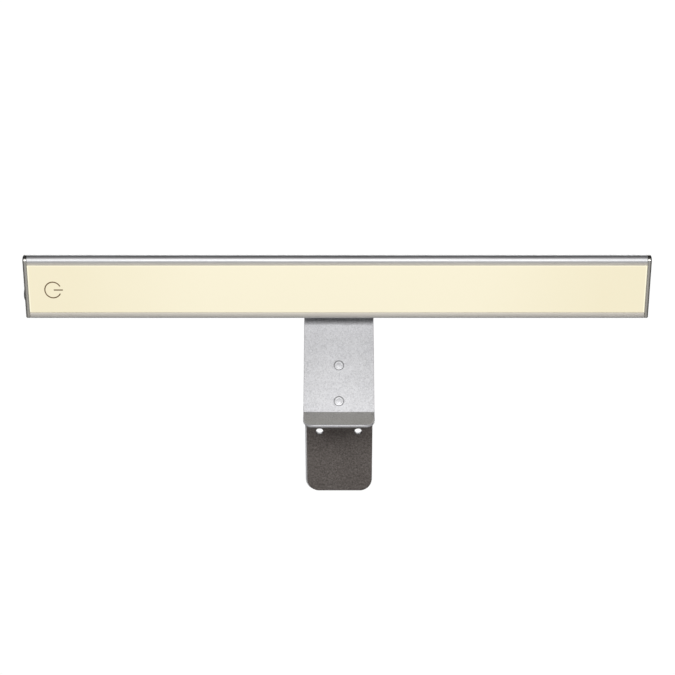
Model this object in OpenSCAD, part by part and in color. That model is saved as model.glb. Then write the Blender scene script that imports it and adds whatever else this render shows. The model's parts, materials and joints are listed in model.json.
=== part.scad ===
/* [Light head] */
// Overall length of the light head, end cap to end cap
bar_len = 450; // [400:5:500]
// Height of the head along its face
bar_h = 45.9; // [45:0.2:50]
// Forward lean of the head at rest, face turned down towards the desk
lean = 38; // [25:1:42]
// Thickness of each end cap along the head
cap_t = 2.9; // [2.5:0.1:5]
// Sideways offset of the head from the middle of the bracket
bar_dx = -1.3; // [-3:0.1:3]
// Spacing of the light emitters along the head
led_pitch = 7.2; // [6:0.2:12]

/* [Hook bracket] */
// Width of the bent sheet bracket
plate_w = 50.9; // [50:0.1:60]
// Thickness of the bracket sheet
sheet = 2; // [1.6:0.1:2]
// Height of the tilt hinge above the top edge of the screen
hinge_z = 84.6; // [78:0.2:100]
// Slope of the rear leg, measured from vertical
jaw_a = 45; // [35:1:50]
// Length of the rear leg below its bend
jaw_len = 54.6; // [40:0.2:60]
// Outward flare of the front lip, measured from vertical
lip_a = 36; // [10:1:45]
// Length of the front lip
lip_len = 15.7; // [10:0.1:20]
// Thickness of the soft pad inside the hook
pad_t = 1.6; // [1.2:0.1:2]

/* [Fits] */
// Radius of the hinge pin
pin_r = 2; // [1.8:0.1:2.2]
// Radial running clearance round the hinge pin
pin_gap = 0.05; // [0.03:0.01:0.08]
// Radius of the two fixing holes in the rear bend
hole_r = 2.75; // [2:0.05:3]
// Distance between the two fixing holes
hole_sp = 28.6; // [20:0.2:34]

/* [Hidden] */
$fn = 48;
e = 0.05;                       // assembly gap between stacked pieces

// ---- head section, local y = back from the face, local z = up the face
slab_t = 9;                     // slim upper and lower body
edge_r = 1.25;                  // rounding of the lower edges
spine_y = 17;                   // back of the driver channel
spine_z0 = 10;
spine_z1 = 33;
wall = 1.2;
half = bar_len / 2;
in_half = half - cap_t;
win_z0 = 4.4;                   // lit window
win_z1 = bar_h - 6.7;
lay_z0 = 3.2;                   // channel that holds the layers
lay_z1 = bar_h - 5;
bead_z = bar_h - slab_t / 2;
guide_z1 = lay_z1 - 2.4;
boss_y = 12.4;                  // lower end-cap screw channel
boss_z = 29.4;
piv_y = 20.1;                   // hinge axis in the head section
piv_z = 5.6;
knuckle_r = pin_r + pin_gap + sheet;
front_y = -15 - sheet;          // front face of the upright sheet
axis_y = -15 - knuckle_r;       // hinge axis, on the bracket side
knuckle_w = 25;                 // head knuckle along the pin
jack_z = 15.3;
collar = 2;                   // how far the inlet collar stands out
jack_y = 11;
mark_x = -half + 20.5;
mark_z = 20.9;
led_n = floor((2 * in_half - 12) / led_pitch);

// ---- bracket paths in the side plane, [y, z], on the sheet's mid line
shelf_z = pad_t + sheet / 2;
jaw_d = [sin(jaw_a), -cos(jaw_a)];
bend_r = 3;
hook_w = plate_w - 0.9;         // the rear sheet is a little narrower
hole_s = 3.4;                   // fixing holes, below the knee
knee = [20.7, shelf_z];
jaw_end = knee + jaw_d * jaw_len;
lip_d = [-sin(lip_a), -cos(lip_a)];
crease = [front_y + sheet / 2, 0.8];
lip_end = crease + lip_d * lip_len;

function unit(v) = v / norm(v);
function nrm(v) = [-v[1], v[0]];
function bend(p0, p1, p2, r, n) =
  let (a = unit(p0 - p1), b = unit(p2 - p1), h = acos(a * b) / 2,
       c = p1 + unit(a + b) * (r / sin(h)),
       s = p1 + a * (r / tan(h)) - c, f = p1 + b * (r / tan(h)) - c,
       a0 = atan2(s[1], s[0]), a1 = atan2(f[1], f[0]),
       da = ((a1 - a0 + 540) % 360) - 180)
  [for (i = [0:n]) c + r * [cos(a0 + da * i / n), sin(a0 + da * i / n)]];
function seg_n(p, i) = nrm(unit(p[i + 1] - p[i]));
function vert_n(p, i) = let (m = len(p) - 1,
    a = seg_n(p, i == 0 ? 0 : i - 1), b = seg_n(p, i == m ? m - 1 : i))
  (a + b) / (1 + a * b);
function side(p, d) = [for (i = [0:len(p) - 1]) p[i] + d * vert_n(p, i)];
function flip(p) = [for (i = [len(p) - 1:-1:0]) p[i]];

hook_path = concat([[-15 + sheet / 2, 47]],
  bend([-15 + sheet / 2, 47], [-15 + sheet / 2, shelf_z], knee, 2.6, 8),
  bend([-15 + sheet / 2, shelf_z], knee, jaw_end, bend_r, 10), [jaw_end]);
pad_path = concat([[-10.5, shelf_z]],
  bend([-10.5, shelf_z], knee, jaw_end, bend_r, 10), [jaw_end - jaw_d * 0.6]);
lip_path = concat([[crease[0], hinge_z]],
  bend([crease[0], hinge_z], crease, lip_end, 3, 6), [lip_end]);

module strip(p, d0, d1) polygon(concat(side(p, d0), flip(side(p, d1))));
module along_x(w) rotate([90, 0, 90]) linear_extrude(w, center = true) children();
module rod_x(x0, x1, y, z, r) translate([x0, y, z]) rotate([0, 90, 0]) cylinder(h = x1 - x0, r = r);
module rod_y(x, y0, y1, z, r) translate([x, y0, z]) rotate([-90, 0, 0]) cylinder(h = y1 - y0, r = r);
module block(x0, x1, y0, y1, z0, z1) translate([x0, y0, z0]) cube([x1 - x0, y1 - y0, z1 - z0]);
module in_head() translate([0, axis_y, hinge_z]) rotate([lean, 0, 0]) translate([0, -piv_y, -piv_z]) children();
module in_bar() in_head() translate([bar_dx, 0, 0]) children();
// rounds the two end corners of a leg that ends at p and slopes by a
module end_corners(p, a, w, r) for (m = [0, 1]) mirror([m, 0, 0])
  translate([0, p[0], p[1]]) rotate([a, 0, 0]) rotate([90, 0, 0]) linear_extrude(14, center = true)
    difference() { translate([w / 2 - r, -1]) square([r + 1, r + 1]); translate([w / 2 - r, r]) circle(r = r, $fn = 64); }

module outline() {
  translate([0, edge_r]) square([slab_t, bead_z - edge_r]);
  translate([edge_r, 0]) square([slab_t - 2 * edge_r, 2]);
  for (y = [edge_r, slab_t - edge_r]) translate([y, edge_r]) circle(r = edge_r);
  translate([slab_t / 2, bead_z]) circle(d = slab_t, $fn = 96);
  translate([slab_t - 1, spine_z0]) square([spine_y - slab_t - 1, spine_z1 - spine_z0]);
  translate([slab_t - 1, spine_z0 + 2]) square([spine_y - slab_t + 1, spine_z1 - spine_z0 - 4]);
  for (z = [spine_z0 + 2, spine_z1 - 2]) translate([spine_y - 2, z]) circle(r = 2);
}
module channels() {
  translate([-1, win_z0]) square([3, win_z1 - win_z0]);
  translate([1, lay_z0]) square([slab_t - wall - 2.2, lay_z1 - lay_z0]);
  translate([1, 12]) square([slab_t - wall - 1, lay_z1 - 12]);
  translate([slab_t, spine_z0 + wall]) square([spine_y - slab_t - wall, boss_z - 2.4 - spine_z0 - wall]);
}
module screw_channels() {
  translate([slab_t / 2, bead_z + 0.4]) circle(r = 1.3);
  translate([boss_y, boss_z]) circle(r = 1.3);
}

module housing_extrusion() color("silver") in_bar() difference() {
  along_x(2 * in_half) difference() { outline(); channels(); screw_channels(); }
  for (x = [-18, 18]) rod_y(x - bar_dx, 6, 10, 5.4, 1.3);
  for (x = [-1, 1]) rod_y(-in_half + 8 + x, 7, 10, 24, 0.7);
}
module cap(s) in_bar() difference() {
  translate([s * (half - cap_t / 2), 0, 0]) along_x(cap_t) difference() { outline(); screw_channels(); }
  for (p = [[slab_t / 2, bead_z + 0.4], [boss_y, boss_z]])
    rod_x(s > 0 ? half - 1.6 : -half - 1, s > 0 ? half + 1 : -half + 1.6, p[0], p[1], 2.3);
  if (s < 0) rod_x(-half - 1, -half + cap_t + 1, jack_y, jack_z, 4.2);
}
module end_cap_left() color("darkgray") cap(-1);
module end_cap_right() color("darkgray") cap(1);
module end_cap_screws() color("dimgray") in_bar() for (s = [-1, 1])
  for (p = [[slab_t / 2, bead_z + 0.4], [boss_y, boss_z]]) translate([s * (half - 0.15), p[0], p[1]]) rotate([0, -s * 90, 0])
    difference() {
      union() { cylinder(h = 1.4, r = 2.2); translate([0, 0, 1.3]) cylinder(h = 10, r = 1.25); }
      translate([-1.5, -0.3, -1]) cube([3, 0.6, 1.6]);
      translate([-0.3, -1.5, -1]) cube([0.6, 3, 1.6]);
    }

module diffuser_panel() color("ivory") in_bar() block(-in_half + e, in_half - e, 1 + e, 3 + e, lay_z0 + e, lay_z1 - e);
module touch_mark() color("sienna") in_bar() translate([mark_x, 1 + e, mark_z]) rotate([90, 0, 0]) {
  rotate([0, 0, 27]) rotate_extrude(angle = 306, $fn = 96) translate([5.4, 0]) square([0.8, 0.08]);
  translate([0.6, -0.35, 0]) cube([6.6, 0.7, 0.08]);
}
module touch_film() color("gainsboro") in_bar() rod_y(mark_x, 3 + 2 * e, 3.2, mark_z, 7);
module light_guide() color("azure") in_bar() block(-in_half + 1, in_half - 1, 3.25, 6.1, lay_z0 + 0.2, guide_z1);
module reflector_sheet() color("white") in_bar() block(-in_half + 1, in_half - 1, 6.15, 6.45, lay_z0 + 0.2, guide_z1);
module backing_foam() color("dimgray") in_bar() block(-in_half + 14, in_half - 2, 6.5, 7.7, 13, guide_z1 - 0.5);
module led_board() color("honeydew") in_bar() block(-in_half + 2, in_half - 2, 3.2, 7.4, guide_z1 + 0.95, guide_z1 + 1.95);
module led_packages() color("khaki") in_bar() for (i = [0:led_n - 1])
  translate([(i - (led_n - 1) / 2) * led_pitch - 1.4, 3.6, guide_z1 + 0.1]) cube([2.8, 2, 0.8]);
module led_leads() color("firebrick") in_bar() for (x = [-1, 1]) {
  translate([-in_half + 8 + x, 7.1, 24]) cylinder(h = guide_z1 + 0.9 - 24, r = 0.45);
  rod_y(-in_half + 8 + x, 7.1, 14.2 + x * 0.9, 24, 0.45);
  rod_x(-in_half + 8 + x, -in_half + 19.9, 14.2 + x * 0.9, 24, 0.45);
}
module driver_board() color("seagreen") in_bar() block(-in_half + 20, -in_half + 112, 13.2, 14.4, spine_z0 + wall + 0.4, boss_z - 2.8);
module driver_components() color("black") in_bar() {
  block(-in_half + 26, -in_half + 33, 10.2, 13.15, 16, 23);
  block(-in_half + 40, -in_half + 45, 11.6, 13.15, 14, 19);
  block(-in_half + 88, -in_half + 94, 11, 13.15, 15, 21);
  for (x = [52, 62, 72]) rod_y(-in_half + x, 9.6, 13.15, 19, 2.6);
  for (i = [0:5]) block(-in_half + 50 + 5 * i, -in_half + 52 + 5 * i, 12.6, 13.15, 23.4, 24.6);
}
module dc_jack() color("black") in_bar() difference() {
  union() {
    rod_x(-half - collar + 0.5, -in_half - 0.05, jack_y, jack_z, 4.1);
    block(-in_half + 0.05, -in_half + 11, slab_t + 0.2, spine_y - wall - 0.2, spine_z0 + wall + 0.2, 22);
    intersection() {
      rod_x(-in_half - 1, -in_half + 1, jack_y, jack_z, 4.1);
      block(-in_half - 2, -in_half + 2, slab_t + 0.2, spine_y - wall - 0.2, spine_z0 + wall + 0.2, 22);
    }
  }
  difference() { rod_x(-half - 5, -in_half + 5, jack_y, jack_z, 2.75); rod_x(-half - 0.5, -in_half + 6, jack_y, jack_z, 1.05); }
}
module inlet_bezel() color("black") in_bar() difference() {
  translate([-half - collar, jack_y, jack_z]) rotate([0, 90, 0]) rotate_extrude()
    polygon([[0, 0], [4.6, 0], [5.1, 0.6], [5.3, collar - 0.02], [0, collar - 0.02]]);
  rod_x(-half - collar - 1, -half + 1, jack_y, jack_z, 4.15);
}

module hinge_block() color("gray") in_head() difference() {
  union() {
    block(-24, 24, slab_t + 0.02, slab_t + 2, 1, 9.8);
    block(-knuckle_w / 2, knuckle_w / 2, slab_t + 1, piv_y, piv_z - 2.2, piv_z + 2.2);
    rod_x(-knuckle_w / 2, knuckle_w / 2, piv_y, piv_z, knuckle_r);
  }
  rod_x(-20, 20, piv_y, piv_z, pin_r + pin_gap);
  for (x = [-18, 18]) rod_y(x, 8, 12, 5.4, 1.4);
}
module hinge_block_screws() color("dimgray") in_head() for (x = [-18, 18]) difference() {
  union() { rod_y(x, slab_t + 2, slab_t + 3.8, 5.4, 2.5); rod_y(x, 7, slab_t + 2.1, 5.4, 1.25); }
  translate([x, slab_t + 5, 5.4]) rotate([90, 0, 0]) cylinder(h = 2.4, r = 1.25, $fn = 6);
}
module friction_washers() color("gold") for (s = [-1, 1]) difference() {
  rod_x(s * (knuckle_w / 2 + 0.25) - 0.2, s * (knuckle_w / 2 + 0.25) + 0.2, axis_y, hinge_z, knuckle_r - 0.1);
  rod_x(-20, 20, axis_y, hinge_z, pin_r + pin_gap);
}
module hinge_pin() color("lightgray") {
  rod_x(-plate_w / 2 - 0.1, plate_w / 2 + 4, axis_y, hinge_z, pin_r);
  rod_x(-plate_w / 2 - 1.8, -plate_w / 2 - 0.1, axis_y, hinge_z, 3.6);
}
module hinge_nut() color("lightgray") difference() {
  translate([plate_w / 2 + 0.1, axis_y, hinge_z]) rotate([0, 90, 0]) cylinder(h = 2.8, r = 3.9, $fn = 6);
  rod_x(0, plate_w, axis_y, hinge_z, pin_r + 0.02);
}
module front_plate() color("lightgray") difference() {
  union() {
    along_x(plate_w) strip(lip_path, -sheet / 2, sheet / 2);
    rod_x(-plate_w / 2, plate_w / 2, axis_y, hinge_z, knuckle_r);
  }
  rod_x(-plate_w, plate_w, axis_y, hinge_z, pin_r + pin_gap);
  block(-knuckle_w / 2 - 0.5, knuckle_w / 2 + 0.5, -40, 0, hinge_z - knuckle_r - 1, hinge_z + 10);
  end_corners(lip_end, -lip_a, plate_w, 7);
  for (z = [9.6, 36.9]) rod_y(0, -30, 0, z, 1.62);
}
module rear_hook() color("lightgray") difference() {
  along_x(hook_w) strip(hook_path, -sheet / 2, sheet / 2);
  end_corners(jaw_end, jaw_a, hook_w, 10);
  for (z = [9.6, 36.9]) rod_y(0, -30, 0, z, 1.62);
  for (s = [-1, 1]) hook_hole(s, hole_r);
}
module hook_hole(s, r) translate([s * hole_sp / 2, knee[0] + jaw_d[0] * hole_s, knee[1] + jaw_d[1] * hole_s])
  rotate([-jaw_a, 0, 0]) translate([0, 0, -9]) cylinder(h = 18, r = r);
module rivets() color("silver") for (z = [9.6, 36.9]) {
  rod_y(0, front_y - 0.55, -15 + sheet + 0.8, z, 1.6);
  rod_y(0, front_y - 0.55, front_y - 0.01, z, 3.3);
  rod_y(0, -15 + sheet + 0.01, -15 + sheet + 0.8, z, 2.8);
}
module hook_pad() color("#3a3634") difference() {
  translate([0.45, 0, 0]) difference() {
    along_x(hook_w - 1.4) strip(pad_path, -sheet / 2 - pad_t, -sheet / 2 - 0.01);
    end_corners(jaw_end - jaw_d * 0.6, jaw_a, hook_w - 1.4, 9.4);
  }
  for (s = [-1, 1]) hook_hole(s, hole_r);
}
module lip_pad() color("#3a3634") along_x(plate_w - 12)
  polygon([for (q = [[1, 1.01], [1, 1.8], [lip_len - 1.5, 1.8], [lip_len - 1.5, 1.01]]) crease + lip_d * q[0] + [cos(lip_a), -sin(lip_a)] * q[1]]);

housing_extrusion();
end_cap_left();
end_cap_right();
end_cap_screws();
diffuser_panel();
touch_mark();
touch_film();
light_guide();
reflector_sheet();
backing_foam();
led_board();
led_packages();
led_leads();
driver_board();
driver_components();
dc_jack();
inlet_bezel();
hinge_block();
hinge_block_screws();
friction_washers();
hinge_pin();
hinge_nut();
front_plate();
rear_hook();
rivets();
hook_pad();
lip_pad();
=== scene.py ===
import json
import math
import bpy
import bmesh
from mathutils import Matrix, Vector
from mathutils.geometry import tessellate_polygon


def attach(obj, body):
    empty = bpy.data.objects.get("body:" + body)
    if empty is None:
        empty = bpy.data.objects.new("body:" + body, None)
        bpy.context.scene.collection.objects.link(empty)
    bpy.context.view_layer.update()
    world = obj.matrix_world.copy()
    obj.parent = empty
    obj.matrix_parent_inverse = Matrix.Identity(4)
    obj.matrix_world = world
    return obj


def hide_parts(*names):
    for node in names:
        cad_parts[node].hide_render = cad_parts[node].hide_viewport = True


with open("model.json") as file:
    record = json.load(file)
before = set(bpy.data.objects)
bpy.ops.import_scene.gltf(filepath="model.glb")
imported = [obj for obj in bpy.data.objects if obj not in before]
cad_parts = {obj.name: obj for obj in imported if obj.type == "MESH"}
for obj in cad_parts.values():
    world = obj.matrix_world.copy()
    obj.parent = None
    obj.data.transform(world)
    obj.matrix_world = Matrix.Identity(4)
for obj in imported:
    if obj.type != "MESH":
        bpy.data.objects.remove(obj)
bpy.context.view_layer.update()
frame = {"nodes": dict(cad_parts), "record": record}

MM = 0.001
LEAN = math.radians(38)
AXIS_Y, AXIS_Z = -19.05, 84.6
HALF, CAP = 225.0, 2.9
BAR_DX = -1.3
INH = HALF - CAP
RB, T = 1.25, 9.0               # lower edge rounding and depth of the slim body
BEAD, WIN0, WIN, LAY = 41.4, 4.4, 39.2, 40.9  # bead centre, window, top of the layer channel


# ---------------------------------------------------------------- helpers
def head(p):
    """Head section (x, back from the face, up the face) to the row frame, mm."""
    x, w, u = p
    w -= 20.1
    u -= 5.6
    c, s = math.cos(LEAN), math.sin(LEAN)
    return (x, AXIS_Y + w * c - u * s, AXIS_Z + w * s + u * c)


def bar(p):
    return head((p[0] + BAR_DX, p[1], p[2]))


def same(p):
    return p


def arc(cx, cy, r, a0, a1, n):
    return [(cx + r * math.cos(math.radians(a0 + (a1 - a0) * i / n)),
             cy + r * math.sin(math.radians(a0 + (a1 - a0) * i / n))) for i in range(n + 1)]


def circle(cx, cy, r, n=40):
    return arc(cx, cy, r, 0, 360 - 360 / n, n - 1)


def build(name, verts, faces, mat, body, nodes, slot, tf=same, angle=32, bevel=0.0, seg=2):
    me = bpy.data.meshes.new(name)
    me.from_pydata([tuple(c * MM for c in tf(v)) for v in verts], [], faces)
    bm = bmesh.new()
    bm.from_mesh(me)
    bmesh.ops.remove_doubles(bm, verts=bm.verts, dist=2e-6)
    bmesh.ops.dissolve_degenerate(bm, edges=bm.edges, dist=1e-7)
    bmesh.ops.recalc_face_normals(bm, faces=bm.faces)
    bm.to_mesh(me)
    bm.free()
    ob = bpy.data.objects.new(name, me)
    bpy.context.scene.collection.objects.link(ob)
    if bevel:
        m = ob.modifiers.new("bevel", "BEVEL")
        m.width = bevel * MM
        m.segments = seg
        m.limit_method = "ANGLE"
        m.angle_limit = math.radians(35)
        m.harden_normals = False
        bake(ob)
    finish_mesh(ob, mat, angle)
    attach(ob, body)
    if nodes:
        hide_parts(*nodes)
    return ob


def finish_mesh(ob, mat, angle=32):
    me = ob.data
    me.polygons.foreach_set("use_smooth", [True] * len(me.polygons))
    me.set_sharp_from_angle(angle=math.radians(angle))
    me.materials.clear()
    me.materials.append(mat)


def bake(ob):
    bpy.context.view_layer.update()
    dg = bpy.context.evaluated_depsgraph_get()
    me = bpy.data.meshes.new_from_object(ob.evaluated_get(dg))
    ob.modifiers.clear()
    ob.data = me


def inset(loop, d):
    """Moves a counter-clockwise loop inwards by d."""
    n = len(loop)
    out = []
    for i in range(n):
        a, b, c = loop[i - 1], loop[i], loop[(i + 1) % n]
        e0 = Vector((b[0] - a[0], b[1] - a[1])).normalized()
        e1 = Vector((c[0] - b[0], c[1] - b[1])).normalized()
        n0, n1 = Vector((-e0.y, e0.x)), Vector((-e1.y, e1.x))
        m = (n0 + n1) / max(0.3, 1 + n0.dot(n1))
        out.append((b[0] + m.x * d, b[1] + m.y * d))
    return out


def loops_to_prism(rings, holes, wells=()):
    """rings: [(x, loop)] from one end to the other; holes: loops through both ends; wells: (loop, depth) in the first end."""
    verts, faces = [], []
    idx = []
    for x, lp in rings:
        idx.append([len(verts) + i for i in range(len(lp))])
        verts += [(x, p[0], p[1]) for p in lp]
    n = len(rings[0][1])
    for a, b in zip(idx, idx[1:]):
        for i in range(n):
            j = (i + 1) % n
            faces.append((a[i], a[j], b[j], b[i]))
    ends = []
    for k, (x, lp) in enumerate((rings[0], rings[-1])):
        hl = []
        for h in holes:
            hl.append((len(verts), len(h)))
            verts += [(x, p[0], p[1]) for p in h]
        wl = []
        if k == 0:
            for h, _ in wells:
                wl.append((len(verts), len(h)))
                verts += [(x, p[0], p[1]) for p in h]
        ends.append((hl, wl))
        polys = [[Vector((p[0], p[1], 0)) for p in lp]]
        ids = list(idx[0] if k == 0 else idx[-1])
        for h, (s, m) in zip(holes, hl):
            polys.append([Vector((p[0], p[1], 0)) for p in h])
            ids += range(s, s + m)
        if k == 0:
            for (h, _), (s, m) in zip(wells, wl):
                polys.append([Vector((p[0], p[1], 0)) for p in h])
                ids += range(s, s + m)
        for t in tessellate_polygon(polys):
            faces.append(tuple(ids[i] for i in t))
    for (s0, m), (s1, _) in zip(ends[0][0], ends[1][0]):
        for i in range(m):
            j = (i + 1) % m
            faces.append((s0 + i, s0 + j, s1 + j, s1 + i))
    x0 = rings[0][0]
    sgn = 1 if rings[-1][0] > x0 else -1
    for (h, d), (s, m) in zip(wells, ends[0][1]):
        b = len(verts)
        verts += [(x0 + sgn * d, p[0], p[1]) for p in h]
        for i in range(m):
            j = (i + 1) % m
            faces.append((s + i, s + j, b + j, b + i))
        faces.append(tuple(b + i for i in range(m)))
    return verts, faces


def lathe(profile, n=64, closed=True):
    """Profile (r, x) turned round the x axis at the origin."""
    verts, faces = [], []
    rings = []
    for r, x in profile:
        if r < 1e-6:
            rings.append([len(verts)])
            verts.append((x, 0, 0))
        else:
            rings.append([len(verts) + i for i in range(n)])
            verts += [(x, r * math.cos(2 * math.pi * i / n), r * math.sin(2 * math.pi * i / n)) for i in range(n)]
    pairs = list(zip(rings, rings[1:]))
    if closed and len(rings[0]) > 1:
        pairs.append((rings[-1], rings[0]))
    for a, b in pairs:
        for i in range(n):
            j = (i + 1) % n
            if len(a) == 1 and len(b) == 1:
                continue
            if len(a) == 1:
                faces.append((a[0], b[j], b[i]))
            elif len(b) == 1:
                faces.append((a[i], a[j], b[0]))
            else:
                faces.append((a[i], a[j], b[j], b[i]))
    return verts, faces


def moved(vf, dx=0, dy=0, dz=0, rot=None):
    v, f = vf
    out = []
    for p in v:
        q = rot(p) if rot else p
        out.append((q[0] + dx, q[1] + dy, q[2] + dz))
    return out, f


def joined(*parts):
    verts, faces = [], []
    for v, f in parts:
        b = len(verts)
        verts += v
        faces += [tuple(i + b for i in q) for q in f]
    return verts, faces


def rbox(x0, x1, y0, y1, z0, z1, r=0.4, n=3):
    """Box with every edge rounded, from a subdivided cube of directions."""
    bm = bmesh.new()
    bmesh.ops.create_cube(bm, size=1.0)
    for v in bm.verts:
        v.co = Vector(((x0 + x1) / 2 + v.co.x * (x1 - x0), (y0 + y1) / 2 + v.co.y * (y1 - y0), (z0 + z1) / 2 + v.co.z * (z1 - z0)))
    bmesh.ops.bevel(bm, geom=list(bm.edges), offset=r, segments=n, affect="EDGES", profile=0.5)
    bm.verts.index_update()
    v = [tuple(q.co) for q in bm.verts]
    f = [tuple(q.index for q in p.verts) for p in bm.faces]
    bm.free()
    return v, f


def unit(a):
    l = math.hypot(*a)
    return (a[0] / l, a[1] / l)


def fillet(p0, p1, p2, r, n):
    a = unit((p0[0] - p1[0], p0[1] - p1[1]))
    b = unit((p2[0] - p1[0], p2[1] - p1[1]))
    h = math.acos(a[0] * b[0] + a[1] * b[1]) / 2
    m = unit((a[0] + b[0], a[1] + b[1]))
    c = (p1[0] + m[0] * r / math.sin(h), p1[1] + m[1] * r / math.sin(h))
    s = (p1[0] + a[0] * r / math.tan(h) - c[0], p1[1] + a[1] * r / math.tan(h) - c[1])
    f = (p1[0] + b[0] * r / math.tan(h) - c[0], p1[1] + b[1] * r / math.tan(h) - c[1])
    a0, a1 = math.atan2(s[1], s[0]), math.atan2(f[1], f[0])
    da = (a1 - a0 + 3 * math.pi) % (2 * math.pi) - math.pi
    return [(c[0] + r * math.cos(a0 + da * i / n), c[1] + r * math.sin(a0 + da * i / n)) for i in range(n + 1)]


def resample(path, at):
    """Points and normals of a polyline at the lengths in at."""
    cum = [0]
    for a, b in zip(path, path[1:]):
        cum.append(cum[-1] + math.hypot(b[0] - a[0], b[1] - a[1]))
    out = []
    for s in at:
        s = min(max(s, 0), cum[-1])
        k = max(i for i in range(len(cum) - 1) if cum[i] <= s + 1e-9)
        t = (s - cum[k]) / (cum[k + 1] - cum[k])
        a, b = path[k], path[k + 1]

        def seg(i):
            i = min(max(i, 0), len(path) - 2)
            return unit((path[i + 1][0] - path[i][0], path[i + 1][1] - path[i][1]))
        d0, d1, d2 = seg(k - 1), seg(k), seg(k + 1)
        # tangent blended over the segment, so bends shade smoothly
        ta = unit((d0[0] + d1[0], d0[1] + d1[1]))
        tb = unit((d1[0] + d2[0], d1[1] + d2[1]))
        d = unit((ta[0] * (1 - t) + tb[0] * t, ta[1] * (1 - t) + tb[1] * t))
        out.append(((a[0] + (b[0] - a[0]) * t, a[1] + (b[1] - a[1]) * t), (-d[1], d[0])))
    return out, cum[-1]


def length(path):
    return sum(math.hypot(b[0] - a[0], b[1] - a[1]) for a, b in zip(path, path[1:]))


def sheet_loft(path, x0, x1, d0, d1, r=0.35, end_r=0.0, start_r=0.0, step=2.0, round_start=True, round_end=True, puff=0.0, nx=1):
    """A sheet of metal or foam that follows a path in the side plane; end_r rounds its plan corners at the far end."""
    L = length(path)
    st = set()
    k = int(L / step)
    for i in range(k + 1):
        st.add(round(L * i / k, 4))
    cum = 0
    for a, b in zip(path, path[1:]):
        cum += math.hypot(b[0] - a[0], b[1] - a[1])
        st.add(round(min(cum, L), 4))
    for i in range(5):
        q = r * (1 - math.cos(math.radians(90 * i / 4)))
        st.add(round(q, 4))
        st.add(round(L - q, 4))
    for R, at_end in ((end_r, True), (start_r, False)):
        if R:
            for i in range(19):
                q = R * (1 - math.cos(math.radians(90 * i / 18)))
                st.add(round(L - q if at_end else q, 4))
    st = sorted(st)
    keep = [st[0]]
    for s in st[1:]:
        if s - keep[-1] > 0.012:
            keep.append(s)
    if L - keep[-1] > 0:
        keep[-1] = L
    pts, _ = resample(path, keep)
    rings, verts, faces = [], [], []
    W, C = (x1 - x0) / 2, (x0 + x1) / 2
    for s, (p, n) in zip(keep, pts):
        w = W
        for R, q in ((end_r, L - s), (start_r, s)):
            if R and q < R:
                w = min(w, W - R + math.sqrt(max(0, R * R - (R - q) ** 2)))
        de = 0.0
        for on, q in ((round_start, s), (round_end, L - s)):
            if on and q < r:
                de = max(de, r - math.sqrt(max(0, r * r - (r - q) ** 2)))
        sec = []
        rr = max(0.02, r - de * 0.0)
        for (sx, sd, a0) in ((1, 0, -90), (1, 1, 0), (-1, 1, 90), (-1, 0, 180)):
            cx = sx * (w - rr)
            cd = (d1 - rr) if sd else (d0 + rr)
            for i in range(5):
                a = math.radians(a0 + 90 * i / 4)
                xx = cx + rr * math.cos(a)
                dd = cd + rr * math.sin(a)
                sec.append((xx, dd))
        mid = (d0 + d1) / 2
        th = (d1 - d0) / 2
        ring = []
        for xx, dd in sec:
            dd = mid + (dd - mid) * (th - de) / th
            ring.append((C + xx, p[0] + n[0] * dd, p[1] + n[1] * dd))
        rings.append([len(verts) + i for i in range(len(ring))])
        verts += ring
    m = len(rings[0])
    for a, b in zip(rings, rings[1:]):
        for i in range(m):
            j = (i + 1) % m
            faces.append((a[i], a[j], b[j], b[i]))
    faces.append(tuple(rings[0]))
    faces.append(tuple(reversed(rings[-1])))
    return verts, faces


def drill(ob, centre, direction, radius, depth=18, n=48):
    """Cuts a round hole through a piece."""
    me = bpy.data.meshes.new("cutter")
    bm = bmesh.new()
    bmesh.ops.create_cone(bm, cap_ends=True, segments=n, radius1=radius * MM, radius2=radius * MM, depth=depth * MM)
    q = Vector(direction).to_track_quat("Z", "Y")
    for v in bm.verts:
        v.co = q @ v.co + Vector(centre) * MM
    bm.to_mesh(me)
    bm.free()
    cut = bpy.data.objects.new("cutter", me)
    bpy.context.scene.collection.objects.link(cut)
    m = ob.modifiers.new("hole", "BOOLEAN")
    m.operation = "DIFFERENCE"
    m.solver = "EXACT"
    m.object = cut
    bake(ob)
    bpy.data.objects.remove(cut)
    bpy.data.meshes.remove(me)


# ---------------------------------------------------------------- materials
def new_mat(name):
    m = bpy.data.materials.new(name)
    m.use_nodes = True
    nt = m.node_tree
    b = nt.nodes["Principled BSDF"]
    return m, nt, b


def noise(nt, scale, detail=3.0, rough=0.6, stretch=(1, 1, 1), dist=0.0):
    tc = nt.nodes.new("ShaderNodeTexCoord")
    mp = nt.nodes.new("ShaderNodeMapping")
    mp.inputs["Scale"].default_value = stretch
    nz = nt.nodes.new("ShaderNodeTexNoise")
    nz.inputs["Scale"].default_value = scale
    nz.inputs["Detail"].default_value = detail
    nz.inputs["Roughness"].default_value = rough
    nz.inputs["Distortion"].default_value = dist
    nt.links.new(tc.outputs["Object"], mp.inputs["Vector"])
    nt.links.new(mp.outputs["Vector"], nz.inputs["Vector"])
    return nz.outputs["Fac"]


def ramp(nt, fac, stops):
    r = nt.nodes.new("ShaderNodeValToRGB")
    el = r.color_ramp.elements
    el[0].position, el[0].color = stops[0][0], (*stops[0][1], 1)
    el[1].position, el[1].color = stops[-1][0], (*stops[-1][1], 1)
    for p, c in stops[1:-1]:
        e = el.new(p)
        e.color = (*c, 1)
    nt.links.new(fac, r.inputs["Fac"])
    return r.outputs["Color"]


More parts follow.
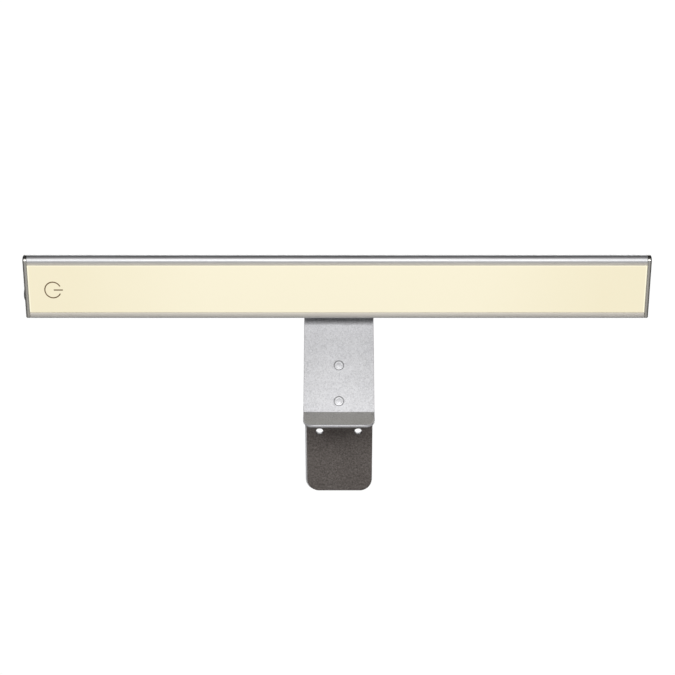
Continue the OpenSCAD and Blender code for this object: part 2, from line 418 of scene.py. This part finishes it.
def to_range(nt, fac, lo, hi, a=0.25, b=0.75):
    m = nt.nodes.new("ShaderNodeMapRange")
    m.inputs["From Min"].default_value = a
    m.inputs["From Max"].default_value = b
    m.inputs["To Min"].default_value = lo
    m.inputs["To Max"].default_value = hi
    nt.links.new(fac, m.inputs["Value"])
    return m.outputs["Result"]


def bump(nt, fac, strength, dist, prev=None):
    bp = nt.nodes.new("ShaderNodeBump")
    bp.inputs["Strength"].default_value = strength
    bp.inputs["Distance"].default_value = dist
    nt.links.new(fac, bp.inputs["Height"])
    if prev is not None:
        nt.links.new(prev, bp.inputs["Normal"])
    return bp.outputs["Normal"]


def finish(name, base, var=0.08, metal=0.0, rough=0.5, rvar=0.08, scale=500, bscale=2500, bstr=0.15, bdist=0.00005,
           coat=0.0, stretch=(1, 1, 1), detail=3.0, big=0.04, ior=1.5, alpha=1.0, trans=0.0):
    m, nt, b = new_mat(name)
    f = noise(nt, scale, detail, 0.6, stretch)
    f2 = noise(nt, 22, 2.0, 0.5)
    lo = tuple(max(0, c * (1 - var)) for c in base)
    hi = tuple(min(1, c * (1 + var)) for c in base)
    col = ramp(nt, f, [(0.3, lo), (0.7, hi)])
    mx = nt.nodes.new("ShaderNodeMix")
    mx.data_type = "RGBA"
    mx.blend_type = "MULTIPLY"
    mx.inputs["Factor"].default_value = 1.0
    nt.links.new(col, mx.inputs[6])
    nt.links.new(ramp(nt, f2, [(0.3, (1 - big,) * 3), (0.7, (1.0,) * 3)]), mx.inputs[7])
    nt.links.new(mx.outputs[2], b.inputs["Base Color"])
    nt.links.new(to_range(nt, f, max(0.03, rough - rvar), min(1, rough + rvar)), b.inputs["Roughness"])
    b.inputs["Metallic"].default_value = metal
    b.inputs["Coat Weight"].default_value = coat
    b.inputs["IOR"].default_value = ior
    b.inputs["Transmission Weight"].default_value = trans
    if bstr:
        nt.links.new(bump(nt, noise(nt, bscale, 3.0, 0.6, stretch), bstr, bdist), b.inputs["Normal"])
    return m


def math_node(nt, op, a, bb=None):
    n = nt.nodes.new("ShaderNodeMath")
    n.operation = op
    for k, q in enumerate((a, bb)):
        if q is None:
            continue
        if isinstance(q, (int, float)):
            n.inputs[k].default_value = q
        else:
            nt.links.new(q, n.inputs[k])
    return n.outputs[0]


def section(nt):
    """Coordinates in the head section: x along the bar, y back from the face, z up the face."""
    tc = nt.nodes.new("ShaderNodeTexCoord")
    mp = nt.nodes.new("ShaderNodeMapping")
    mp.vector_type = "TEXTURE"
    mp.inputs["Location"].default_value = tuple(c * MM for c in head((BAR_DX, 0, 0)))
    mp.inputs["Rotation"].default_value = (LEAN, 0, 0)
    nt.links.new(tc.outputs["Object"], mp.inputs["Vector"])
    sp = nt.nodes.new("ShaderNodeSeparateXYZ")
    nt.links.new(mp.outputs["Vector"], sp.inputs["Vector"])
    return sp


# silver anodising: bead-blasted grain with the faint long draw lines of an extrusion;
# the face strips beside the lit window get a painted warm reflection of its light
def mat_anodised(name, base, rough=0.33, painted_window_reflection=None, edge=None):
    m, nt, b = new_mat(name)
    grain = noise(nt, 2600, 4.0, 0.7)
    lines = noise(nt, 900, 3.0, 0.6, (0.012, 1, 1))
    cloud = noise(nt, 9, 2.0, 0.5)
    mx = nt.nodes.new("ShaderNodeMix")
    mx.data_type = "RGBA"
    mx.blend_type = "MULTIPLY"
    mx.inputs["Factor"].default_value = 1.0
    nt.links.new(ramp(nt, grain, [(0.3, tuple(c * 0.94 for c in base)), (0.7, tuple(min(1, c * 1.05) for c in base))]), mx.inputs[6])
    nt.links.new(ramp(nt, lines, [(0.35, (0.955, 0.955, 0.96)), (0.65, (1, 1, 1))]), mx.inputs[7])
    col = mx.outputs[2]
    if painted_window_reflection:
        # painted reflection: a warm tint on the face strips beside the window stands in for the lit panel's light
        # falling on them
        sp = section(nt)
        low = to_range(nt, sp.outputs["Z"], 0.25, 1.0, 0.6 * MM, (WIN0 - 0.4) * MM)
        high = to_range(nt, sp.outputs["Z"], 1.0, 0.0, (WIN + 0.9) * MM, (WIN + 2.6) * MM)
        front = to_range(nt, sp.outputs["Y"], 1.0, 0.0, 0.5 * MM, 1.4 * MM)
        fac = math_node(nt, "MULTIPLY", math_node(nt, "MULTIPLY", low, high), front)
        warm = nt.nodes.new("ShaderNodeMix")
        warm.data_type = "RGBA"
        nt.links.new(fac, warm.inputs["Factor"])
        nt.links.new(col, warm.inputs[6])
        nt.links.new(ramp(nt, grain, [(0.3, tuple(c * 0.95 for c in painted_window_reflection)), (0.7, painted_window_reflection)]), warm.inputs[7])
        col = warm.outputs[2]
        # painted highlight: the top of the bead is brightened in its base colour
        painted_bead_highlight = to_range(nt, sp.outputs["Z"], 1.0, 2.1, 43.3 * MM, 44.7 * MM)
        up = nt.nodes.new("ShaderNodeVectorMath")
        up.operation = "SCALE"
        nt.links.new(col, up.inputs[0])
        nt.links.new(painted_bead_highlight, up.inputs["Scale"])
        col = up.outputs[0]
    if edge:
        # painted shade: the rounded outer edge of the caps is darkened in its base colour
        sp = section(nt)
        painted_edge_shade = to_range(nt, math_node(nt, "ABSOLUTE", sp.outputs["X"]), 1.0, edge, (HALF - 1.5) * MM, (HALF - 0.8) * MM)
        dim = nt.nodes.new("ShaderNodeVectorMath")
        dim.operation = "SCALE"
        nt.links.new(col, dim.inputs[0])
        nt.links.new(painted_edge_shade, dim.inputs["Scale"])
        col = dim.outputs[0]
    nt.links.new(col, b.inputs["Base Color"])
    nt.links.new(to_range(nt, cloud, rough - 0.03, rough + 0.04), b.inputs["Roughness"])
    b.inputs["Metallic"].default_value = 1.0
    n1 = bump(nt, lines, 0.02, 0.00003)
    nt.links.new(bump(nt, grain, 0.10, 0.00003, n1), b.inputs["Normal"])
    return m


# silver powder coat: metal flakes in a fine orange-peel skin, with a thin painted shadow ring round each rivet head
def mat_powder(name, base, rough=0.42, painted_rivet_shadows=()):
    m, nt, b = new_mat(name)
    fleck = noise(nt, 1150, 3.0, 0.7)
    peel = noise(nt, 620, 2.0, 0.5)
    cloud = noise(nt, 60, 3.0, 0.6)
    mx = nt.nodes.new("ShaderNodeMix")
    mx.data_type = "RGBA"
    mx.blend_type = "MULTIPLY"
    mx.inputs["Factor"].default_value = 1.0
    nt.links.new(ramp(nt, fleck, [(0.30, tuple(c * 0.80 for c in base)), (0.5, base), (0.72, tuple(min(1, c * 1.16) for c in base))]), mx.inputs[6])
    nt.links.new(ramp(nt, cloud, [(0.3, (0.95, 0.95, 0.955)), (0.7, (1, 1, 1))]), mx.inputs[7])
    col = mx.outputs[2]
    if painted_rivet_shadows:
        tc = nt.nodes.new("ShaderNodeTexCoord")
        sp = nt.nodes.new("ShaderNodeSeparateXYZ")
        nt.links.new(tc.outputs["Object"], sp.inputs["Vector"])
        for x, z in painted_rivet_shadows:
            # painted shadow: a thin ring at each rivet head's rim is darkened in the base colour
            dx = math_node(nt, "SUBTRACT", sp.outputs["X"], x * MM)
            dz = math_node(nt, "SUBTRACT", sp.outputs["Z"], z * MM)
            r = math_node(nt, "SQRT", math_node(nt, "ADD", math_node(nt, "MULTIPLY", dx, dx), math_node(nt, "MULTIPLY", dz, dz)))
            off = math_node(nt, "ABSOLUTE", math_node(nt, "SUBTRACT", r, 3.45 * MM))
            dark = to_range(nt, off, 0.42, 1.0, 0.22 * MM, 0.50 * MM)
            shade = nt.nodes.new("ShaderNodeVectorMath")
            shade.operation = "SCALE"
            nt.links.new(col, shade.inputs[0])
            nt.links.new(dark, shade.inputs["Scale"])
            col = shade.outputs[0]
    nt.links.new(col, b.inputs["Base Color"])
    nt.links.new(to_range(nt, fleck, rough - 0.07, rough + 0.08), b.inputs["Roughness"])
    b.inputs["Metallic"].default_value = 0.85
    n1 = bump(nt, peel, 0.35, 0.00006)
    nt.links.new(bump(nt, fleck, 0.25, 0.00003, n1), b.inputs["Normal"])
    return m


# dark foam rubber: matte, mottled, with open pores
def mat_pad(name):
    m, nt, b = new_mat(name)
    mott = noise(nt, 760, 4.0, 0.65, dist=0.3)
    pores = noise(nt, 1500, 3.0, 0.6)
    cloud = noise(nt, 45, 2.0, 0.5)
    mx = nt.nodes.new("ShaderNodeMix")
    mx.data_type = "RGBA"
    mx.blend_type = "MULTIPLY"
    mx.inputs["Factor"].default_value = 1.0
    nt.links.new(ramp(nt, mott, [(0.30, (0.056, 0.048, 0.044)), (0.5, (0.112, 0.097, 0.090)), (0.70, (0.182, 0.162, 0.151))]), mx.inputs[6])
    nt.links.new(ramp(nt, cloud, [(0.3, (0.86, 0.85, 0.84)), (0.7, (1, 1, 1))]), mx.inputs[7])
    nt.links.new(mx.outputs[2], b.inputs["Base Color"])
    nt.links.new(to_range(nt, pores, 0.78, 0.96), b.inputs["Roughness"])
    b.inputs["Sheen Weight"].default_value = 0.12
    b.inputs["Sheen Roughness"].default_value = 0.6
    b.inputs["Specular IOR Level"].default_value = 0.3
    n1 = bump(nt, mott, 0.5, 0.00018)
    nt.links.new(bump(nt, pores, 0.35, 0.00006, n1), b.inputs["Normal"])
    return m


# opal acrylic, lit from behind: brighter towards the middle, a bright line where light leaks at the top and side edges
def mat_opal(name):
    m, nt, b = new_mat(name)
    sp = section(nt)
    ax = math_node(nt, "ABSOLUTE", sp.outputs["X"])
    side = to_range(nt, ax, 0, 1, (INH - 1.0) * MM, (INH - 0.7) * MM)
    top = to_range(nt, sp.outputs["Z"], 0, 1, (WIN - 0.95) * MM, (WIN - 0.65) * MM)
    edge = math_node(nt, "MAXIMUM", side, top)
    mid = to_range(nt, ax, 1.0, 0.0, 0.09, 0.19)
    cloud = noise(nt, 14, 2.0, 0.5)
    fine = noise(nt, 900, 2.0, 0.5)
    base = ramp(nt, math_node(nt, "ADD", math_node(nt, "MULTIPLY", mid, 0.8), math_node(nt, "MULTIPLY", cloud, 0.2)),
                [(0.05, GLOW_ENDS), (0.85, GLOW_MID)])
    mx = nt.nodes.new("ShaderNodeMix")
    mx.data_type = "RGBA"
    nt.links.new(edge, mx.inputs["Factor"])
    nt.links.new(base, mx.inputs[6])
    mx.inputs[7].default_value = (*GLOW_EDGE, 1)
    nt.links.new(mx.outputs[2], b.inputs["Emission Color"])
    b.inputs["Emission Strength"].default_value = 1.0
    nt.links.new(ramp(nt, cloud, [(0.3, (0.055, 0.052, 0.046)), (0.7, (0.06, 0.057, 0.052))]), b.inputs["Base Color"])
    nt.links.new(to_range(nt, fine, 0.34, 0.40), b.inputs["Roughness"])
    nt.links.new(bump(nt, fine, 0.04, 0.00002), b.inputs["Normal"])
    b.inputs["Specular IOR Level"].default_value = 0.3
    return m


GLOW_ENDS = (0.845, 0.775, 0.560)
GLOW_MID = (0.885, 0.825, 0.625)
GLOW_EDGE = (0.98, 0.93, 0.72)
# the last colour is the painted warm reflection of the lit window on the face strips
ALU = mat_anodised("anodised_aluminium", (0.45, 0.45, 0.455), 0.45, (0.76, 0.72, 0.645))
# edge=0.30 is the painted shade on the caps' rounded outer edge
CAPM = mat_anodised("cap_silver", (0.47, 0.46, 0.435), 0.30, edge=0.30)
POWDER = mat_powder("textured_silver", (0.69, 0.69, 0.706), 0.46)
# the pairs centre the painted shadow rings round the two rivets
PLATE = mat_powder("textured_silver_plate", (0.69, 0.69, 0.706), 0.46, ((0, 9.6), (0, 36.9)))
PAD = mat_pad("dark_pad")
OPAL = mat_opal("opal_diffuser")
STEEL = finish("screw_steel", (0.52, 0.52, 0.53), 0.06, 1.0, 0.30, 0.08, 1200, 3000, 0.1)
INK = finish("print_brown", (0.12, 0.060, 0.012), 0.10, 0.0, 0.55, 0.05, 1500, 3500, 0.1)
BLACK = finish("black_plastic", (0.022, 0.022, 0.024), 0.18, 0.0, 0.42, 0.08, 900, 2600, 0.25)
CAST = finish("cast_gray", (0.34, 0.34, 0.36), 0.08, 0.85, 0.45, 0.08, 800, 1800, 0.3)
BRONZE = finish("washer_bronze", (0.60, 0.42, 0.20), 0.08, 1.0, 0.35, 0.08, 900, 2400, 0.15)
FILM = finish("clear_film", (0.80, 0.84, 0.86), 0.03, 0.0, 0.15, 0.04, 300, 1500, 0.05)
ACRYL = finish("clear_acrylic", (0.82, 0.88, 0.90), 0.03, 0.0, 0.08, 0.03, 300, 1200, 0.05, trans=0.8)
WHITE = finish("white_film", (0.86, 0.86, 0.86), 0.03, 0.0, 0.7, 0.05, 500, 1500, 0.1)
FOAM = finish("black_foam", (0.035, 0.035, 0.036), 0.35, 0.0, 0.95, 0.04, 1400, 1400, 0.8, 0.0002)
WBOARD = finish("white_board", (0.80, 0.80, 0.78), 0.04, 0.0, 0.4, 0.05, 800, 2000, 0.1)
LEDY = finish("led_yellow", (0.85, 0.66, 0.12), 0.08, 0.0, 0.3, 0.05, 2000, 4000, 0.1)
WIRE = finish("wire_red", (0.48, 0.03, 0.025), 0.08, 0.0, 0.35, 0.05, 900, 2000, 0.1)
GREEN = finish("green_board", (0.025, 0.20, 0.07), 0.16, 0.0, 0.35, 0.06, 700, 1800, 0.15, coat=0.3)
SLOT_MAT = {"anodised_aluminium": ALU, "cap_silver": CAPM, "textured_silver": POWDER, "dark_pad": PAD, "opal_diffuser": OPAL,
            "screw_steel": STEEL, "print_brown": INK, "black_plastic": BLACK, "cast_gray": CAST, "washer_bronze": BRONZE,
            "clear_film": FILM, "clear_acrylic": ACRYL, "white_film": WHITE, "black_foam": FOAM, "white_board": WBOARD,
            "led_yellow": LEDY, "wire_red": WIRE, "green_board": GREEN}
for sp in frame["record"]["subparts"]:
    o = frame["nodes"].get(sp["node"])
    if o is not None and sp["material_slot"] in SLOT_MAT:
        for s in o.material_slots:
            s.material = SLOT_MAT[sp["material_slot"]]

# ---------------------------------------------------------------- light head


def outline(window):
    p = arc(RB, RB, RB, 180, 270, 8) + arc(T - RB, RB, RB, 270, 360, 8)
    p += [(T, 10.0)] + arc(15, 12.0, 2, 270, 360, 8) + arc(15, 31, 2, 0, 90, 8) + [(T, 33.0)]
    p += arc(T / 2, BEAD, T / 2, 0, 180, 48)
    if window:
        b = 0.22
        p += [(0, WIN + b)] + arc(b, WIN + b, b, 180, 270, 3)[1:]
        p += [(1.0, WIN), (1.0, LAY), (7.8, LAY), (7.8, 12.0), (6.6, 12.0), (6.6, 3.2), (1.0, 3.2), (1.0, WIN0)]
        p += arc(b, WIN0 - b, b, 90, 180, 3)
    return p


def clean(lp):
    out = []
    for q in lp:
        if not out or math.hypot(q[0] - out[-1][0], q[1] - out[-1][1]) > 1e-3:
            out.append(q)
    if math.hypot(out[0][0] - out[-1][0], out[0][1] - out[-1][1]) < 1e-3:
        out.pop()
    return out


screws = [(4.5, BEAD + 0.4), (12.4, 29.4)]
c = 0.22
lp = clean(outline(True))
rings = [(-INH + 0.02, inset(lp, c)), (-INH + 0.02 + c, lp), (INH - 0.02 - c, lp), (INH - 0.02, inset(lp, c))]
cav = [(9.0, 11.2), (15.8, 11.2), (15.8, 27.0), (9.0, 27.0)]
build("extrusion_shell", *loops_to_prism(rings, [cav, circle(*screws[0], 1.3, 24), circle(*screws[1], 1.3, 24)]),
      ALU, "head", ["housing_extrusion"], "anodised_aluminium", bar, 28)


def end_cap(name, s):
    R = 0.95
    lo = clean(outline(False))
    rings = []
    # from the outer face inwards, round the outer edge
    for i in range(6, -1, -1):
        a = math.radians(90 * i / 6)
        rings.append((s * (HALF - R * (1 - math.sin(a))), inset(lo, R * (1 - math.cos(a)))))
    rings += [(s * (HALF - CAP + c + 0.02), lo), (s * (HALF - CAP + 0.02), inset(lo, c))]
    holes = []
    wells = [(circle(q[0], q[1], 2.3, 32), 1.6) for q in screws]
    if s < 0:
        holes.append(circle(11, 15.3, 4.2, 40))
    return build(name + "_moulding", *loops_to_prism(rings, holes, wells), CAPM, "head", [name], "cap_silver", bar, 28)


end_cap("end_cap_left", -1)
end_cap("end_cap_right", 1)

# cap screws: pan heads with a small round recess, seated in their wells
parts = []
for s in (-1, 1):
    for q in screws:
        prof = [(0, 0.55), (0.5, 0.5), (0.55, 0.02), (1.75, 0.0), (2.05, 0.12), (2.2, 0.4), (2.2, 1.35), (0, 1.35)]
        v, f = lathe(prof, 32, closed=False)
        parts.append(([(s * (HALF - 0.15 - p[0]), q[0] + p[1], q[1] + p[2]) for p in v], f))
build("cap_screw_heads", *joined(*parts), STEEL, "head", ["end_cap_screws"], "screw_steel", bar, 30)

# opal diffuser with softened edges, held in the window groove
build("diffuser_sheet", *rbox(-INH + 0.05, INH - 0.05, 1.05, 3.05, 3.25, LAY - 0.05, 0.2, 2), OPAL, "head", ["diffuser_panel"], "opal_diffuser", bar, 40)

# standby mark: flat raised ink ring, open to the right, and a bar
mx, mz = -HALF + 20.5, 20.9
ring_v, ring_f = [], []
N = 96
sec = [(5.38, 1.045), (5.41, 0.99), (5.48, 0.965), (6.12, 0.965), (6.19, 0.99), (6.22, 1.045)]
for i in range(N + 1):
    a = math.radians(27 + 306 * i / N)
    ring_v += [(mx + r * math.cos(a), w, mz + r * math.sin(a)) for r, w in sec]
k = len(sec)
for i in range(N):
    for j in range(k):
        jj = (j + 1) % k
        ring_f.append((i * k + j, i * k + jj, (i + 1) * k + jj, (i + 1) * k + j))
ring_f += [tuple(range(k)), tuple(N * k + j for j in reversed(range(k)))]
stroke = rbox(mx + 0.6, mx + 7.2, 0.965, 1.045, mz - 0.42, mz + 0.42, 0.035, 2)
build("standby_mark", *joined((ring_v, ring_f), stroke), INK, "head", ["touch_mark"], "print_brown", bar, 40)

# power inlet: moulded collar on the left cap
COL = 2.0
prof = [(4.16, 0.10), (4.28, 0.0), (4.55, 0.0), (4.80, 0.16), (5.02, 0.45), (5.14, 0.8), (5.24, 1.3), (5.30, 1.8), (5.30, 1.98), (4.16, 1.98)]
v, f = lathe(prof, 64)
build("inlet_collar", [(-HALF - COL + p[0], 11 + p[1], 15.3 + p[2]) for p in v], f, BLACK, "head", ["inlet_bezel"], "black_plastic", bar, 30)

# hinge block: plate, web and barrel of one casting
plate = rbox(-24, 24, 9.03, 11, 1.0, 9.8, 0.45, 3)
web = rbox(-12.5, 12.5, 10.6, 18.6, 3.4, 7.8, 0.3, 2)
bar_v, bar_f = lathe([(2.05, -12.5), (3.75, -12.5), (4.05, -12.2), (4.05, 12.2), (3.75, 12.5), (2.05, 12.5)], 64)
bar_v = [(p[0], 20.1 + p[1], 5.6 + p[2]) for p in bar_v]
build("hinge_casting", *joined(plate, web, (bar_v, bar_f)), CAST, "head", ["hinge_block"], "cast_gray", head, 32)
parts = []
for x in (-18, 18):
    v, f = lathe([(0, 0.9), (1.2, 0.9), (1.25, 0.05), (1.9, 0.0), (2.3, 0.25), (2.5, 0.7), (2.5, 1.8), (0, 1.8)], 40, closed=False)
    parts.append(([(x + p[1], 12.8 - p[0], 5.4 + p[2]) for p in v], f))
build("hinge_screw_heads", *joined(*parts), STEEL, "head", ["hinge_block_screws"], "screw_steel", head, 30)

# ---------------------------------------------------------------- bracket
W, HW, PW, PX = 50.9, 50.0, 48.6, 0.45
sh = 2.0
crease = (-16.0, 0.8)
la = math.radians(36)
LIP = 15.7
lip_end = (crease[0] - LIP * math.sin(la), crease[1] - LIP * math.cos(la))
main_path = [(-16.0, 79.5)] + fillet((-16.0, 79.5), crease, lip_end, 2.2, 10) + [lip_end]
main = sheet_loft(main_path, -W / 2, W / 2, -sh / 2, sh / 2, 0.38, end_r=7.0, step=3.0, round_start=False)
tabs = []
roll = [(-16.0, 79.5), (-16.0, 84.6)]
for i in range(1, 37):
    a = math.radians(325 * i / 36)
    roll.append((AXIS_Y + 3.05 * math.cos(a), AXIS_Z + 3.05 * math.sin(a)))
for x0, x1 in ((-W / 2, -13.0), (13.0, W / 2)):
    tabs.append(sheet_loft(roll, x0, x1, -sh / 2, sh / 2, 0.3, step=3.0, round_start=False))
build("front_sheet", *joined(main, *tabs), PLATE, "bracket", ["front_plate"], "textured_silver", same, 40)

ja = math.radians(45)
jd = (math.sin(ja), -math.cos(ja))
knee = (20.7, 2.6)
jend = (knee[0] + jd[0] * 54.6, knee[1] + jd[1] * 54.6)
hook_path = [(-14.0, 47.0)] + fillet((-14.0, 47.0), (-14.0, 2.6), knee, 2.6, 10) + fillet((-14.0, 2.6), knee, jend, 3, 14) + [jend]
hook = build("rear_sheet", *sheet_loft(hook_path, -HW / 2, HW / 2, -sh / 2, sh / 2, 0.38, end_r=10.0, start_r=4.0, step=3.0), POWDER,
             "bracket", ["rear_hook"], "textured_silver", same, 40)
pe = (jend[0] - jd[0] * 0.6, jend[1] - jd[1] * 0.6)
pad_path = [(-10.5, 2.6)] + fillet((-10.5, 2.6), knee, pe, 3, 14) + [pe]
pad = build("foam_pad", *sheet_loft(pad_path, PX - PW / 2, PX + PW / 2, -sh / 2 - 1.6, -sh / 2 - 0.03, 0.45, end_r=9.4, start_r=3.0, step=2.0), PAD,
            "bracket", ["hook_pad"], "dark_pad", same, 40)
for s in (-1, 1):
    at = (s * 14.3, knee[0] + jd[0] * 3.4, knee[1] + jd[1] * 3.4)
    dr = (0, math.sin(ja), math.cos(ja))
    drill(hook, at, dr, 2.75)
    drill(pad, at, dr, 2.75)
finish_mesh(hook, POWDER, 40)
finish_mesh(pad, PAD, 40)

# riveted joint of the two sheets: shallow discs with a rolled rim
parts = []
for z in (9.6, 36.9):
    front = [(0, -0.30), (1.9, -0.30), (2.04, -0.285), (2.12, -0.255), (2.24, -0.255), (2.32, -0.285), (2.46, -0.30), (3.0, -0.29),
             (3.16, -0.24), (3.26, -0.14), (3.30, -0.02), (3.30, -0.005), (0, -0.005)]
    v, f = lathe(front, 48, closed=False)
    parts.append(([(p[1], -17.0 + p[0], z + p[2]) for p in v], f))
    back = [(0, 0.8), (1.9, 0.76), (2.5, 0.55), (2.75, 0.2), (2.8, 0.01), (0, 0.01)]
    v, f = lathe(back, 48, closed=False)
    parts.append(([(p[1], -13.0 + p[0], z + p[2]) for p in v], f))
build("rivet_heads", *joined(*parts), POWDER, "bracket", ["rivets"], "textured_silver", same, 30)

# hinge pin, nut and washers
v1 = lathe([(0, -27.6), (2.6, -27.6), (3.3, -27.35), (3.6, -26.9), (3.6, -25.95), (2.0, -25.9), (2.0, 29.4), (1.75, 29.8), (0, 29.8)], 48, closed=False)
build("hinge_pin_turned", *moved(v1, dy=AXIS_Y, dz=AXIS_Z), STEEL, "bracket", ["hinge_pin"], "screw_steel", same, 30)
nut_v, nut_f = [], []
prof = []
hexn = 6
lp0 = [(3.9 * math.cos(math.radians(60 * i)), 3.9 * math.sin(math.radians(60 * i))) for i in range(6)]
lpd = []
for i in range(6):
    a, b = lp0[i], lp0[(i + 1) % 6]
    for t in range(6):
        lpd.append((a[0] + (b[0] - a[0]) * t / 6, a[1] + (b[1] - a[1]) * t / 6))


def cham(l, r):
    return [(q[0] * min(1, r / math.hypot(*q)), q[1] * min(1, r / math.hypot(*q))) for q in l]


rings = [(25.9, cham(lpd, 3.4)), (26.15, cham(lpd, 3.75)), (26.3, lpd), (28.3, lpd), (28.45, cham(lpd, 3.75)), (28.7, cham(lpd, 3.4))]
nv, nf = loops_to_prism(rings, [circle(0, 0, 2.03, 36)])
build("hinge_nut_hex", [(p[0], p[1] + AXIS_Y, p[2] + AXIS_Z) for p in nv], nf, STEEL, "bracket", ["hinge_nut"], "screw_steel", same, 30)
parts = []
for s in (-1, 1):
    x = s * 12.75
    parts.append(moved(lathe([(2.06, x - 0.2), (3.85, x - 0.2), (3.95, x - 0.1), (3.95, x + 0.1), (3.85, x + 0.2), (2.06, x + 0.2)], 48), dy=AXIS_Y, dz=AXIS_Z))
build("bronze_washers", *joined(*parts), BRONZE, "bracket", ["friction_washers"], "washer_bronze", same, 30)

# ---------------------------------------------------------------- floor, light, camera
bm = bmesh.new()
bmesh.ops.create_grid(bm, x_segments=24, y_segments=24, size=6.0)
for v in bm.verts:
    v.co.z = -0.95
me = bpy.data.meshes.new("floor")
bm.to_mesh(me)
bm.free()
floor = bpy.data.objects.new("floor", me)
bpy.context.scene.collection.objects.link(floor)
me.materials.append(finish("floor_paper", (0.86, 0.86, 0.86), 0.01, 0.0, 0.9, 0.03, 40, 400, 0.02))

scene = bpy.context.scene
world = bpy.data.worlds.new("studio")
scene.world = world
world.use_nodes = True
wt = world.node_tree
for n in list(wt.nodes):
    wt.nodes.remove(n)
out = wt.nodes.new("ShaderNodeOutputWorld")
mixs = wt.nodes.new("ShaderNodeMixShader")
lpth = wt.nodes.new("ShaderNodeLightPath")
bg_w = wt.nodes.new("ShaderNodeBackground")
bg_w.inputs["Color"].default_value = (1, 1, 1, 1)
bg_w.inputs["Strength"].default_value = 1.02
bg_l = wt.nodes.new("ShaderNodeBackground")
bg_l.inputs["Color"].default_value = (0.97, 0.97, 1.0, 1)
bg_l.inputs["Strength"].default_value = 0.03
wt.links.new(lpth.outputs["Is Camera Ray"], mixs.inputs["Fac"])
wt.links.new(bg_l.outputs["Background"], mixs.inputs[1])
wt.links.new(bg_w.outputs["Background"], mixs.inputs[2])
wt.links.new(mixs.outputs["Shader"], out.inputs["Surface"])


def area(name, loc, target, sx, sy, power, color=(1, 1, 1)):
    d = bpy.data.lights.new(name, "AREA")
    d.shape = "RECTANGLE"
    d.size, d.size_y = sx, sy
    d.energy = power
    d.color = color
    o = bpy.data.objects.new(name, d)
    scene.collection.objects.link(o)
    o.location = loc
    o.rotation_euler = (Vector(target) - Vector(loc)).to_track_quat("-Z", "Y").to_euler()
    o.visible_camera = False
    return o


area("front_softbox", (0.0, -1.85, -0.13), (0, 0, 0.03), 2.4, 0.52, 32)
area("warm_bounce", (0.0, -0.63, -0.86), (0, 0, 0.03), 2.2, 0.4, 0.5, (1.0, 0.87, 0.68))
area("back_softbox", (0.0, 1.1, 1.9), (0, 0, 0.03), 2.4, 1.0, 12)
area("back_low", (0.0, 1.9, 0.25), (0, 0, 0.03), 2.0, 0.6, 9)
area("left_softbox", (-1.9, 0.75, 0.35), (0, 0, 0.03), 0.8, 0.8, 7)
area("right_softbox", (1.9, 0.75, 0.35), (0, 0, 0.03), 0.8, 0.8, 7)

cam = bpy.data.cameras.new("camera")
cam.sensor_width = 36
cam.lens = 1300 / 675 * 36
cam.clip_end = 50
co = bpy.data.objects.new("camera", cam)
scene.collection.objects.link(co)
co.location = (-0.00102, -0.90458, -0.28222)
co.rotation_euler = (math.radians(90 + 21), 0, 0)
scene.camera = co
scene.view_settings.view_transform = "Standard"
scene.view_settings.look = "None"
